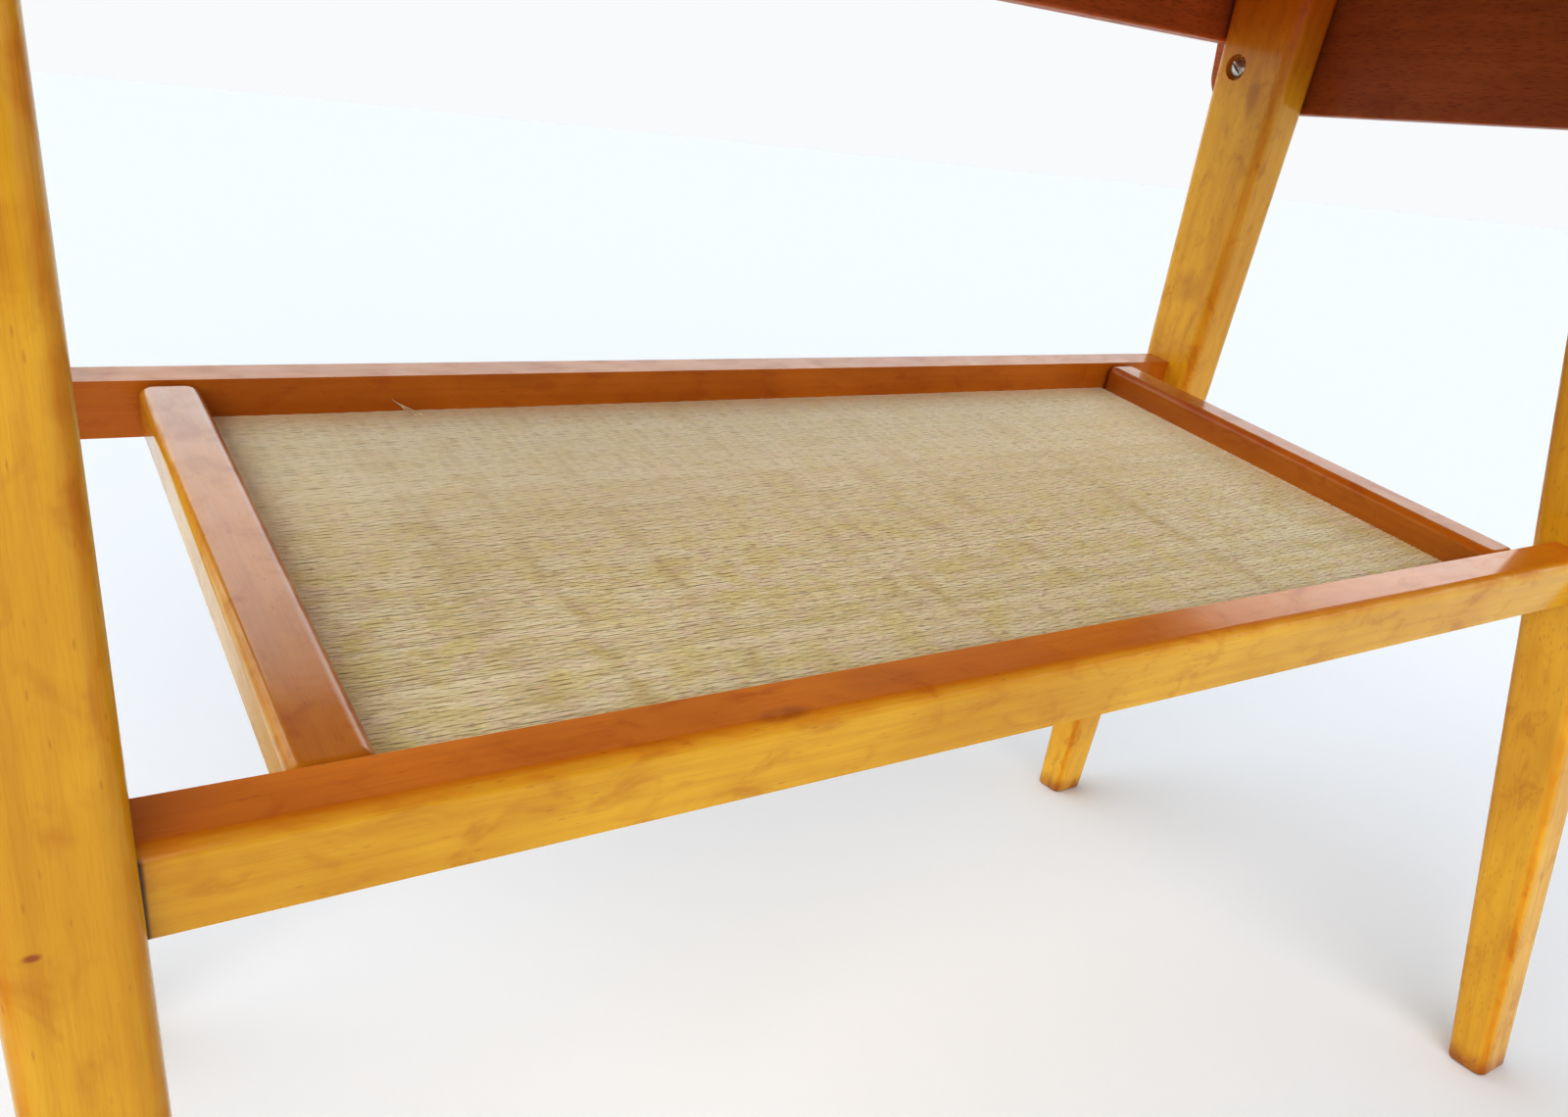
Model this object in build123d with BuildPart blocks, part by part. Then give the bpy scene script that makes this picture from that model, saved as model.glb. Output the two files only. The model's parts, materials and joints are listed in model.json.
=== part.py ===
from build123d import *
import math
import os

# Sewing box on a splayed-leg stand with a tilted woven shelf.
# Millimetres. +Z is up and the origin is on the floor under the middle of the stand.
# +X runs along the length, and -Y is the front.

# ---- stand ----
HALF_SPAN = 280.0  # middle of the stand to the inner face of a leg
SHELF_HEIGHT = 285.0  # rail tops, at the middle of the shelf
SHELF_TILT = 8.0  # degrees, front lower than back
LEG_TOP = 512.0
LEG_THICKNESS = 26.0
FOOT_THICKNESS = 23.6
LEG_INNER = 105.0  # leg's inner edge from the middle plane, at the shelf height
LEG_INNER_SLOPE = 0.1426  # the inner edge moves out by this much per millimetre down
LEG_OUTER = 142.0
LEG_OUTER_SLOPE = 0.082
LEG_CORNER = 6.0
FOOT_CORNER = 4.6
LEG_CORNERS = ((0, FOOT_CORNER), (SHELF_HEIGHT, LEG_CORNER), (LEG_TOP, LEG_CORNER))
FOOT_ROUND = 2.0

RAIL_INNER = 121.0  # middle plane to a rail's inner face, along the shelf
RAIL_WIDTH = 18.7
RAIL_HEIGHT = 21.0
RAIL_ROUND = 4.5
SMALL_ROUND = 1.5

BAR_INNER = 230.0
BAR_WIDTH = 19.5
BAR_DROP = 1.0  # top of a cross bar below the rail tops
BAR_HEIGHT = 19.4
BAR_ROUND = 3.6
BAR_END_ROUND = 5.0

BOARD_DROP = 15.0  # top of the shelf board below the rail tops
BOARD_THICKNESS = 4.0
BOARD_TONGUE = 4.0  # depth of the board in its grooves
WEAVE_THICKNESS = 1.0

# ---- box ----
RIM = 622.0  # top edge of the box
END_BOTTOM = 440.0
END_THICKNESS = 15.0
END_HALF_DEPTH = 152.0
END_CORNER = 20.0
SIDE_BOTTOM = 473.0
SIDE_INNER = 127.0  # middle plane to the inner face of a long side
SIDE_THICKNESS = 13.0
FLOOR_THICKNESS = 6.0
FLOOR_TONGUE = 4.0
LID_THICKNESS = 14.0
LID_CORNER = 7.0
LID_ROUND = 3.0
LID_GAP = 1.0  # between the two leaves
KNOB_X = 26.0
KNOB_FOOT = 6.5
KNOB_NECK = 4.4
KNOB_HEAD = 10.5
KNOB_HEIGHT = 16.0
KNOB_BASE = 1.5  # heights up the turned profile: straight foot,
KNOB_WAIST = 5.0  # narrowest place,
KNOB_FLARE = 8.5  # end of the hollow,
KNOB_RIM = 10.5  # widest place,
KNOB_EDGE = 12.0  # and the start of the domed top

# ---- hinges ----
HINGE_CENTRES = (-95.0, 95.0)
HINGE_LENGTH = 50.0
KNUCKLE_RADIUS = 3.0
KNUCKLE_CLEARANCE = 0.4
KNUCKLE_GAP = 0.3
MIDDLE_KNUCKLE = 19.7
PIN_RADIUS = 1.5
PIN_FIT = 0.01  # in the fixed knuckles
PIN_PLAY = 0.05  # in the moving knuckles
LEAF_THICKNESS = 1.2
LEAF_PLAY = 0.15  # half the gap between the two leaves of a closed hinge
LEAF_WIDTH = 12.0
AXIS_OUTSET = 0.5  # hinge axis outside the end panel's face
BORE_OVERSHOOT = 1.0

# ---- trays ----
TRAY_LENGTH = 300.0
TRAY_HEIGHT = 33.0
TRAY_WALL = 6.0
TRAY_FLOOR = 3.0
TRAY_FLOOR_LIFT = 2.0
TRAY_TONGUE = 3.0
DIVIDER = 4.0
DIVIDER_HEIGHT = 24.0
FINGERS = 5  # interlocking fingers up a tray's corner
TRAY_PLAY = 0.8  # to the box on each side
RUNNER_PLAY = 0.3
LOWER_TRAY_BOTTOM = 552.0
UPPER_TRAY_BOTTOM = 586.5
RUNNER_HEIGHT = 8.0
RUNNER_ROUND = 1.0
UPPER_RUNNER_WIDTH = 8.0
LOWER_RUNNER_WIDTH = 16.0
NOTCH_WIDTH = 30.0
NOTCH_DEPTH = 12.0
NOTCH_CORNER = 8.0
LONG_DIVIDER_Y = (24.0, 28.0)
SPOOL_PIN_RADIUS = 2.5
SPOOL_PIN_HEIGHT = 24.0
SPOOL_PIN_ROUND = 1.2
SPOOL_ROWS = (-86.0, -34.0)
SPOOL_COLUMNS = 5

# ---- fasteners ----
DOWEL_PLAY = 0.05
RAIL_DOWEL = (4.0, 14.0)  # radius, depth in each piece
BAR_DOWEL = (3.0, 10.0)
BAR_DOWEL_DROP = 8.9  # below the top of a cross bar
BAR_DOWEL_OUTSET = 1.0  # outside the middle of a cross bar
PANEL_DOWEL = (3.0, 10.0)
PANEL_DOWEL_HEIGHTS = (492.0, 545.0, 598.0)
SCREW_SHANK = 2.0
SCREW_HEAD = 5.2
SCREW_HEAD_HEIGHT = 3.3
SCREW_HEAD_EDGE = 0.8
SCREW_SLOT = (1.3, 1.4)  # width and depth
SCREW_LENGTH = 32.0
SCREW_CUP = (6.5, 3.0)  # radius and depth of the round recess
LEG_SCREWS = ((113.0, 460.0), (93.0, 500.0))  # distance from the middle plane, height
LEG_SCREW_BITE = 11.0  # depth of a leg screw's hole in the end panel
HINGE_SCREW = (2.4, 1.1, 10.0)  # head radius, shank radius, length
HINGE_SCREW_SLOT = 0.7
HINGE_SCREW_PITCH = 17.0
HINGE_SCREW_INSET = 7.7  # from the hinge axis
KNOB_SCREW = (3.2, 1.4, 24.0)
KNOB_SCREW_SLOT = 0.9

# ---- worked out ----
LEG_OUTSIDE = HALF_SPAN + LEG_THICKNESS
END_OUTSIDE = LEG_OUTSIDE + END_THICKNESS
AXIS_X = END_OUTSIDE + AXIS_OUTSET
BAR_MIDDLE = BAR_INNER + BAR_WIDTH / 2
RAIL_MIDDLE = RAIL_INNER + RAIL_WIDTH / 2
SIDE_MIDDLE = SIDE_INNER + SIDE_THICKNESS / 2
HINGE_SCREW_X = AXIS_X - HINGE_SCREW_INSET
HINGE_SCREW_YS = [
    centre + step * HINGE_SCREW_PITCH for centre in HINGE_CENTRES for step in (-1, 0, 1)
]
FLOOR_TOP = LEG_TOP + FLOOR_THICKNESS
TRAY_LEFT = -LEG_OUTSIDE + TRAY_PLAY
TRAY_RIGHT = TRAY_LEFT + TRAY_LENGTH
TILT_COS = math.cos(math.radians(SHELF_TILT))
TILT_SIN = math.sin(math.radians(SHELF_TILT))
X_SIDES = ((-1, "left"), (1, "right"))
Y_SIDES = ((-1, "front"), (1, "back"))

# The shelf's own planes: one lying in the rail tops, one across the length at the left legs.
SHELF = Plane(origin=(0, 0, SHELF_HEIGHT), x_dir=(1, 0, 0), z_dir=(0, -TILT_SIN, TILT_COS))
SHELF_SECTION = Plane(
    origin=(-HALF_SPAN, 0, SHELF_HEIGHT), x_dir=(0, TILT_COS, TILT_SIN), z_dir=(1, 0, 0)
)

os.makedirs("parts", exist_ok=True)


def save(piece, name):
    """Label a finished piece and write it to its own file."""
    piece.part.label = name
    export_step(piece.part, f"parts/{name}.step")


def block(x_range, y_range, z_range):
    """A closed box between three pairs of coordinates."""
    with BuildPart() as solid:
        with BuildSketch(Plane.XY.offset(z_range[0])):
            with Locations(((x_range[0] + x_range[1]) / 2, (y_range[0] + y_range[1]) / 2)):
                Rectangle(abs(x_range[1] - x_range[0]), abs(y_range[1] - y_range[0]))
        extrude(amount=z_range[1] - z_range[0])
    return solid.part


def rod(start, direction, radius, length):
    """A round bar from a start point along a direction."""
    with BuildPart() as solid:
        with BuildSketch(Plane(origin=start, z_dir=direction)):
            Circle(radius)
        extrude(amount=length)
    return solid.part


def both(reach, side):
    """A coordinate pair on one side of the middle plane."""
    return (side * reach[0], side * reach[1])


def crown_radius(half_width, rise):
    """Radius of the dome that rises this much over a disc of this half width."""
    return (half_width**2 + rise**2) / (2 * rise)


# ---- fasteners, each made once and copied into place ----

# Slotted round-head screw, head up, with its seat at the origin.
screw_crown = crown_radius(SCREW_HEAD, SCREW_HEAD_HEIGHT - SCREW_HEAD_EDGE)
with BuildPart() as round_screw:
    with BuildSketch(Plane.XZ):
        with BuildLine():
            Line((0, SCREW_HEAD_HEIGHT), (0, -SCREW_LENGTH))
            Line((0, -SCREW_LENGTH), (SCREW_SHANK, -SCREW_LENGTH + SCREW_SHANK))
            Line((SCREW_SHANK, -SCREW_LENGTH + SCREW_SHANK), (SCREW_SHANK, 0))
            Line((SCREW_SHANK, 0), (SCREW_HEAD, 0))
            Line((SCREW_HEAD, 0), (SCREW_HEAD, SCREW_HEAD_EDGE))
            RadiusArc((SCREW_HEAD, SCREW_HEAD_EDGE), (0, SCREW_HEAD_HEIGHT), -screw_crown)
        make_face()
    revolve(axis=Axis.Z)
    with Locations((0, 0, SCREW_HEAD_HEIGHT)):
        Box(3 * SCREW_HEAD, SCREW_SLOT[0], 2 * SCREW_SLOT[1], mode=Mode.SUBTRACT)


def flush_screw(head, shank, length, slot):
    """Slotted countersunk screw, pointing down, with its flat head at the origin."""
    with BuildPart() as screw:
        with BuildSketch(Plane.XZ):
            Polygon(
                (0, 0), (head, 0), (shank, shank - head), (shank, shank - length), (0, -length),
                align=None,
            )
        revolve(axis=Axis.Z)
        Box(2 * head, slot, slot, mode=Mode.SUBTRACT)
    return screw.part


def flush_hole(head, shank, length):
    """The countersunk hole for the same screw, a little larger."""
    with BuildPart() as hole:
        with BuildSketch(Plane.XZ):
            Polygon(
                (0, 0), (head + DOWEL_PLAY, 0), (shank + DOWEL_PLAY, shank - head),
                (shank + DOWEL_PLAY, -length), (0, -length), align=None,
            )
        revolve(axis=Axis.Z)
    return hole.part


hinge_screw = flush_screw(*HINGE_SCREW, HINGE_SCREW_SLOT)
hinge_screw_hole = flush_hole(*HINGE_SCREW)
knob_screw = flush_screw(*KNOB_SCREW, KNOB_SCREW_SLOT)
knob_screw_hole = flush_hole(*KNOB_SCREW)

# ---- places of the fasteners ----


def leg_screw_place(x_side, y_side, reach, height):
    """The seat of a leg screw, its head towards the middle of the stand."""
    seat = (x_side * (HALF_SPAN + SCREW_CUP[1]), y_side * reach, height)
    return Location(Plane(origin=seat, x_dir=(0, 1, 1), z_dir=(-x_side, 0, 0)))


def rail_dowel_start(x_side, y_side, inset):
    """The inner end of a rail dowel, inset from the leg's face."""
    reach = y_side * RAIL_MIDDLE
    drop = -RAIL_HEIGHT / 2
    return (
        x_side * (HALF_SPAN - inset),
        reach * TILT_COS - drop * TILT_SIN,
        SHELF_HEIGHT + reach * TILT_SIN + drop * TILT_COS,
    )


def bar_dowel_start(x_side, y_side, inset):
    """The inner end of a cross bar's dowel, inset from the rail's face."""
    reach = y_side * (RAIL_INNER - inset)
    drop = -BAR_DROP - BAR_DOWEL_DROP
    return (
        x_side * (BAR_MIDDLE + BAR_DOWEL_OUTSET),
        reach * TILT_COS - drop * TILT_SIN,
        SHELF_HEIGHT + reach * TILT_SIN + drop * TILT_COS,
    )


# ---- shapes that are both pieces and grooves ----


def shelf_slab(half_length, half_depth, drop, thickness):
    """A flat slab parallel to the shelf, its top a drop below the rail tops."""
    with BuildPart() as slab:
        with BuildSketch(SHELF.offset(-drop - thickness)):
            Rectangle(2 * half_length, 2 * half_depth)
        extrude(amount=thickness)
    return slab.part


shelf_board_shape = shelf_slab(
    BAR_INNER + BOARD_TONGUE, RAIL_INNER + BOARD_TONGUE, BOARD_DROP, BOARD_THICKNESS
)
box_floor_shape = block(
    (-LEG_OUTSIDE - FLOOR_TONGUE, LEG_OUTSIDE + FLOOR_TONGUE),
    (-SIDE_INNER - FLOOR_TONGUE, SIDE_INNER + FLOOR_TONGUE),
    (LEG_TOP, FLOOR_TOP),
)

# ---- legs: tapered and splayed, with rounded corners, upright seen from the front ----


def leg_section(height):
    """Thickness along X, and the inner and outer edges from the middle plane."""
    below = SHELF_HEIGHT - height
    inner = LEG_INNER + LEG_INNER_SLOPE * below
    outer = LEG_OUTER + LEG_OUTER_SLOPE * below
    shrink = (LEG_THICKNESS - FOOT_THICKNESS) * max(below, 0) / SHELF_HEIGHT
    return LEG_THICKNESS - shrink, inner, outer


for x_side, x_name in X_SIDES:
    for y_side, y_name in Y_SIDES:
        with BuildPart() as leg:
            for height, corner in LEG_CORNERS:
                thickness, inner, outer = leg_section(height)
                with BuildSketch(Plane.XY.offset(height)):
                    centre = (x_side * (HALF_SPAN + thickness / 2), y_side * (inner + outer) / 2)
                    with Locations(centre):
                        RectangleRounded(thickness, outer - inner, corner)
            loft(ruled=True)
            fillet(leg.edges().group_by(Axis.Z)[0], FOOT_ROUND)
            for reach, height in LEG_SCREWS:
                cup_mouth = (x_side * HALF_SPAN, y_side * reach, height)
                add(rod(cup_mouth, (x_side, 0, 0), *SCREW_CUP), mode=Mode.SUBTRACT)
                shank_hole = rod(cup_mouth, (x_side, 0, 0), SCREW_SHANK + DOWEL_PLAY, LEG_THICKNESS)
                add(shank_hole, mode=Mode.SUBTRACT)
            dowel_hole = rod(
                rail_dowel_start(x_side, y_side, 0), (x_side, 0, 0),
                RAIL_DOWEL[0] + DOWEL_PLAY, RAIL_DOWEL[1],
            )
            add(dowel_hole, mode=Mode.SUBTRACT)
        save(leg, f"leg_{y_name}_{x_name}")

with BuildPart() as leg_screws:
    for x_side, x_name in X_SIDES:
        for y_side, y_name in Y_SIDES:
            for reach, height in LEG_SCREWS:
                with Locations(leg_screw_place(x_side, y_side, reach, height)):
                    add(round_screw.part)
save(leg_screws, "leg_screws")

# ---- shelf: two rails, two cross bars, a grooved-in board and its woven face ----

for y_side, y_name in Y_SIDES:
    with BuildPart() as rail:
        with BuildSketch(SHELF_SECTION) as profile:
            with Locations((y_side * RAIL_MIDDLE, -RAIL_HEIGHT / 2)):
                Rectangle(RAIL_WIDTH, RAIL_HEIGHT)
            top_corners = profile.vertices().group_by(Axis.Y)[-1].sort_by(Axis.X)
            bottom_corners = profile.vertices().group_by(Axis.Y)[0].sort_by(Axis.X)
            outer = -1 if y_side > 0 else 0
            fillet(top_corners[outer], RAIL_ROUND)
            fillet(bottom_corners, SMALL_ROUND)
        extrude(amount=2 * HALF_SPAN)
        add(shelf_board_shape, mode=Mode.SUBTRACT)
        for x_side, x_name in X_SIDES:
            rail_end = rail_dowel_start(x_side, y_side, RAIL_DOWEL[1])
            bar_end = bar_dowel_start(x_side, y_side, 0)
            outward = (0, y_side * TILT_COS, y_side * TILT_SIN)
            leg_hole = rod(rail_end, (x_side, 0, 0), RAIL_DOWEL[0] + DOWEL_PLAY, RAIL_DOWEL[1])
            bar_hole = rod(bar_end, outward, BAR_DOWEL[0] + DOWEL_PLAY, BAR_DOWEL[1])
            add(leg_hole, mode=Mode.SUBTRACT)
            add(bar_hole, mode=Mode.SUBTRACT)
    save(rail, f"rail_{y_name}")

for x_side, x_name in X_SIDES:
    with BuildPart() as cross_bar:
        with BuildSketch(SHELF.offset(-BAR_DROP - BAR_HEIGHT)) as outline:
            with Locations((x_side * BAR_MIDDLE, 0)):
                RectangleRounded(BAR_WIDTH, 2 * RAIL_INNER, BAR_END_ROUND)
        extrude(amount=BAR_HEIGHT)
        fillet(cross_bar.faces().sort_by(Axis.Z)[-1].edges(), BAR_ROUND)
        add(shelf_board_shape, mode=Mode.SUBTRACT)
        for y_side, y_name in Y_SIDES:
            inner_end = bar_dowel_start(x_side, y_side, BAR_DOWEL[1])
            outward = (0, y_side * TILT_COS, y_side * TILT_SIN)
            hole = rod(inner_end, outward, BAR_DOWEL[0] + DOWEL_PLAY, BAR_DOWEL[1])
            add(hole, mode=Mode.SUBTRACT)
    save(cross_bar, f"cross_bar_{x_name}")

with BuildPart() as shelf_board:
    add(shelf_board_shape)
save(shelf_board, "shelf_board")

with BuildPart() as shelf_weave:
    add(shelf_slab(BAR_INNER, RAIL_INNER, BOARD_DROP - WEAVE_THICKNESS, WEAVE_THICKNESS))
save(shelf_weave, "shelf_weave")

with BuildPart() as rail_dowels:
    for x_side, x_name in X_SIDES:
        for y_side, y_name in Y_SIDES:
            inner_end = rail_dowel_start(x_side, y_side, RAIL_DOWEL[1])
            add(rod(inner_end, (x_side, 0, 0), RAIL_DOWEL[0], 2 * RAIL_DOWEL[1]))
save(rail_dowels, "rail_dowels")

with BuildPart() as cross_bar_dowels:
    for x_side, x_name in X_SIDES:
        for y_side, y_name in Y_SIDES:
            inner_end = bar_dowel_start(x_side, y_side, BAR_DOWEL[1])
            outward = (0, y_side * TILT_COS, y_side * TILT_SIN)
            add(rod(inner_end, outward, BAR_DOWEL[0], 2 * BAR_DOWEL[1]))
save(cross_bar_dowels, "cross_bar_dowels")

# ---- box: two deep end panels outside the legs, two long sides and a grooved-in floor ----


def hinge_recess(x_side, z_side):
    """The wood cut away for the leaves and knuckles of both hinges at one end."""
    with BuildPart() as cut:
        for centre in HINGE_CENTRES:
            y_range = (centre - HINGE_LENGTH / 2, centre + HINGE_LENGTH / 2)
            x_range = both((AXIS_X - LEAF_WIDTH, AXIS_X), x_side)
            z_range = sorted((RIM, RIM + z_side * (LEAF_THICKNESS + LEAF_PLAY)))
            add(block(x_range, y_range, z_range))
            start = (x_side * AXIS_X, y_range[0] - KNUCKLE_GAP, RIM)
            room = HINGE_LENGTH + 2 * KNUCKLE_GAP
            add(rod(start, (0, 1, 0), KNUCKLE_RADIUS + KNUCKLE_CLEARANCE, room))
    return cut.part


for x_side, x_name in X_SIDES:
    with BuildPart() as end_panel:
        inner_face = Plane(origin=(x_side * LEG_OUTSIDE, 0, 0), x_dir=(0, x_side, 0), z_dir=(x_side, 0, 0))
        with BuildSketch(inner_face) as face:
            with Locations((0, (END_BOTTOM + RIM) / 2)):
                Rectangle(2 * END_HALF_DEPTH, RIM - END_BOTTOM)
            fillet(face.vertices().group_by(Axis.Y)[0], END_CORNER)
        extrude(amount=END_THICKNESS)
        lower_edges = end_panel.edges().filter_by(lambda edge: edge.center().Z < RIM - SMALL_ROUND)
        fillet(lower_edges.filter_by(Plane.YZ), SMALL_ROUND)
        add(box_floor_shape, mode=Mode.SUBTRACT)
        add(hinge_recess(x_side, -1), mode=Mode.SUBTRACT)
        for y in HINGE_SCREW_YS:
            with Locations((x_side * HINGE_SCREW_X, y, RIM - LEAF_PLAY)):
                add(hinge_screw_hole, mode=Mode.SUBTRACT)
        for y_side, y_name in Y_SIDES:
            for height in PANEL_DOWEL_HEIGHTS:
                start = (x_side * LEG_OUTSIDE, y_side * SIDE_MIDDLE, height)
                hole = rod(start, (x_side, 0, 0), PANEL_DOWEL[0] + DOWEL_PLAY, PANEL_DOWEL[1])
                add(hole, mode=Mode.SUBTRACT)
            for reach, height in LEG_SCREWS:
                start = (x_side * LEG_OUTSIDE, y_side * reach, height)
                hole = rod(start, (x_side, 0, 0), SCREW_SHANK + DOWEL_PLAY, LEG_SCREW_BITE)
                add(hole, mode=Mode.SUBTRACT)
    save(end_panel, f"end_panel_{x_name}")

for y_side, y_name in Y_SIDES:
    with BuildPart() as side_panel:
        with BuildSketch(Plane(origin=(-LEG_OUTSIDE, 0, 0), x_dir=(0, 1, 0), z_dir=(1, 0, 0))) as profile:
            with Locations((y_side * SIDE_MIDDLE, (SIDE_BOTTOM + RIM) / 2)):
                Rectangle(SIDE_THICKNESS, RIM - SIDE_BOTTOM)
            fillet(profile.vertices().group_by(Axis.Y)[0], SMALL_ROUND)
        extrude(amount=2 * LEG_OUTSIDE)
        add(box_floor_shape, mode=Mode.SUBTRACT)
        for x_side, x_name in X_SIDES:
            for height in PANEL_DOWEL_HEIGHTS:
                start = (x_side * (LEG_OUTSIDE - PANEL_DOWEL[1]), y_side * SIDE_MIDDLE, height)
                hole = rod(start, (x_side, 0, 0), PANEL_DOWEL[0] + DOWEL_PLAY, PANEL_DOWEL[1])
                add(hole, mode=Mode.SUBTRACT)
    save(side_panel, f"side_panel_{y_name}")

with BuildPart() as panel_dowels:
    for x_side, x_name in X_SIDES:
        for y_side, y_name in Y_SIDES:
            for height in PANEL_DOWEL_HEIGHTS:
                start = (x_side * (LEG_OUTSIDE - PANEL_DOWEL[1]), y_side * SIDE_MIDDLE, height)
                add(rod(start, (x_side, 0, 0), PANEL_DOWEL[0], 2 * PANEL_DOWEL[1]))
save(panel_dowels, "panel_dowels")

with BuildPart() as box_floor:
    add(box_floor_shape)
save(box_floor, "box_floor")

for level, tray_bottom, width in (
    ("upper", UPPER_TRAY_BOTTOM, UPPER_RUNNER_WIDTH),
    ("lower", LOWER_TRAY_BOTTOM, LOWER_RUNNER_WIDTH),
):
    for y_side, y_name in Y_SIDES:
        top = tray_bottom - RUNNER_PLAY
        with BuildPart() as runner:
            add(block(
                (-LEG_OUTSIDE, LEG_OUTSIDE),
                both((SIDE_INNER - width, SIDE_INNER), y_side),
                (top - RUNNER_HEIGHT, top),
            ))
            long_edges = runner.edges().filter_by(Axis.X)
            inner_edges = long_edges.group_by(Axis.Y)[0 if y_side > 0 else -1]
            fillet(inner_edges, RUNNER_ROUND)
        save(runner, f"{level}_runner_{y_name}")

# ---- hinges: leaves let into the panel's top and the lid's underside ----


def hinge_leaf(x_side, z_side, knuckles, bore):
    """Both leaves of one kind at one end, with the knuckles given as y ranges."""
    with BuildPart() as leaves:
        for centre in HINGE_CENTRES:
            plate_end = AXIS_X - KNUCKLE_RADIUS - KNUCKLE_CLEARANCE
            z_range = sorted((RIM + z_side * LEAF_PLAY, RIM + z_side * (LEAF_PLAY + LEAF_THICKNESS)))
            y_range = (centre - HINGE_LENGTH / 2, centre + HINGE_LENGTH / 2)
            add(block(both((AXIS_X - LEAF_WIDTH, plate_end), x_side), y_range, z_range))
            for low, high in knuckles:
                barrel_range = (centre + low, centre + high)
                add(block(both((plate_end, AXIS_X), x_side), barrel_range, z_range))
                start = (x_side * AXIS_X, centre + low, RIM)
                add(rod(start, (0, 1, 0), KNUCKLE_RADIUS, high - low))
            start = (x_side * AXIS_X, y_range[0] - BORE_OVERSHOOT, RIM)
            bore_length = HINGE_LENGTH + 2 * BORE_OVERSHOOT
            add(rod(start, (0, 1, 0), bore, bore_length), mode=Mode.SUBTRACT)
    return leaves.part


MIDDLE = ((-MIDDLE_KNUCKLE / 2, MIDDLE_KNUCKLE / 2),)
OUTER = (
    (-HINGE_LENGTH / 2, -MIDDLE_KNUCKLE / 2 - KNUCKLE_GAP),
    (MIDDLE_KNUCKLE / 2 + KNUCKLE_GAP, HINGE_LENGTH / 2),
)

for x_side, x_name in X_SIDES:
    with BuildPart() as fixed_leaves:
        add(hinge_leaf(x_side, -1, OUTER, PIN_RADIUS + PIN_FIT))
        for y in HINGE_SCREW_YS:
            with Locations((x_side * HINGE_SCREW_X, y, RIM - LEAF_PLAY)):
                add(hinge_screw_hole, mode=Mode.SUBTRACT)
    save(fixed_leaves, f"hinge_{x_name}_panel_leaves")

    with BuildPart() as moving_leaves:
        add(hinge_leaf(x_side, 1, MIDDLE, PIN_RADIUS + PIN_PLAY))
        for y in HINGE_SCREW_YS:
            with Locations(Location((x_side * HINGE_SCREW_X, y, RIM + LEAF_PLAY), (180, 0, 0))):
                add(hinge_screw_hole, mode=Mode.SUBTRACT)
    save(moving_leaves, f"hinge_{x_name}_lid_leaves")

    with BuildPart() as pins:
        for centre in HINGE_CENTRES:
            start = (x_side * AXIS_X, centre - HINGE_LENGTH / 2, RIM)
            add(rod(start, (0, 1, 0), PIN_RADIUS, HINGE_LENGTH))
    save(pins, f"hinge_{x_name}_pins")

    with BuildPart() as panel_screws:
        for y in HINGE_SCREW_YS:
            with Locations((x_side * HINGE_SCREW_X, y, RIM - LEAF_PLAY)):
                add(hinge_screw)
    save(panel_screws, f"hinge_{x_name}_panel_screws")

    with BuildPart() as lid_screws:
        for y in HINGE_SCREW_YS:
            with Locations(Location((x_side * HINGE_SCREW_X, y, RIM + LEAF_PLAY), (180, 0, 0))):
                add(hinge_screw)
    save(lid_screws, f"hinge_{x_name}_lid_screws")

# ---- lids: two leaves that meet in the middle, each with a turned knob ----

knob_crown = crown_radius(KNOB_HEAD, KNOB_HEIGHT - KNOB_EDGE)

for x_side, x_name in X_SIDES:
    with BuildPart() as lid:
        with BuildSketch(Plane.XY.offset(RIM)) as outline:
            with Locations((x_side * (END_OUTSIDE + LID_GAP / 2) / 2, 0)):
                Rectangle(END_OUTSIDE - LID_GAP / 2, 2 * END_HALF_DEPTH)
            outer = -1 if x_side > 0 else 0
            fillet(outline.vertices().group_by(Axis.X)[outer], LID_CORNER)
        extrude(amount=LID_THICKNESS)
        fillet(lid.faces().sort_by(Axis.Z)[-1].edges(), LID_ROUND)
        add(hinge_recess(x_side, 1), mode=Mode.SUBTRACT)
        for y in HINGE_SCREW_YS:
            with Locations(Location((x_side * HINGE_SCREW_X, y, RIM + LEAF_PLAY), (180, 0, 0))):
                add(hinge_screw_hole, mode=Mode.SUBTRACT)
        with Locations(Location((x_side * KNOB_X, 0, RIM), (180, 0, 0))):
            add(knob_screw_hole, mode=Mode.SUBTRACT)
    save(lid, f"lid_{x_name}")

    with BuildPart() as knob:
        with BuildSketch(Plane.XZ):
            with BuildLine():
                Line((0, 0), (KNOB_FOOT, 0))
                Line((KNOB_FOOT, 0), (KNOB_FOOT, KNOB_BASE))
                ThreePointArc((KNOB_FOOT, KNOB_BASE), (KNOB_NECK, KNOB_WAIST), (KNOB_FOOT, KNOB_FLARE))
                Line((KNOB_FOOT, KNOB_FLARE), (KNOB_HEAD, KNOB_RIM))
                Line((KNOB_HEAD, KNOB_RIM), (KNOB_HEAD, KNOB_EDGE))
                RadiusArc((KNOB_HEAD, KNOB_EDGE), (0, KNOB_HEIGHT), -knob_crown)
                Line((0, KNOB_HEIGHT), (0, 0))
            make_face()
        revolve(axis=Axis.Z)
        with Locations(Location((0, 0, -LID_THICKNESS), (180, 0, 0))):
            add(knob_screw_hole, mode=Mode.SUBTRACT)
    knob_place = Pos(x_side * KNOB_X, 0, RIM + LID_THICKNESS)
    knob.part = knob_place * knob.part
    save(knob, f"knob_{x_name}")

    with BuildPart() as lid_knob_screw:
        with Locations(Location((x_side * KNOB_X, 0, RIM), (180, 0, 0))):
            add(knob_screw)
    save(lid_knob_screw, f"knob_{x_name}_screw")

# ---- trays: finger-jointed walls, a grooved-in floor, and dividers ----

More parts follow.
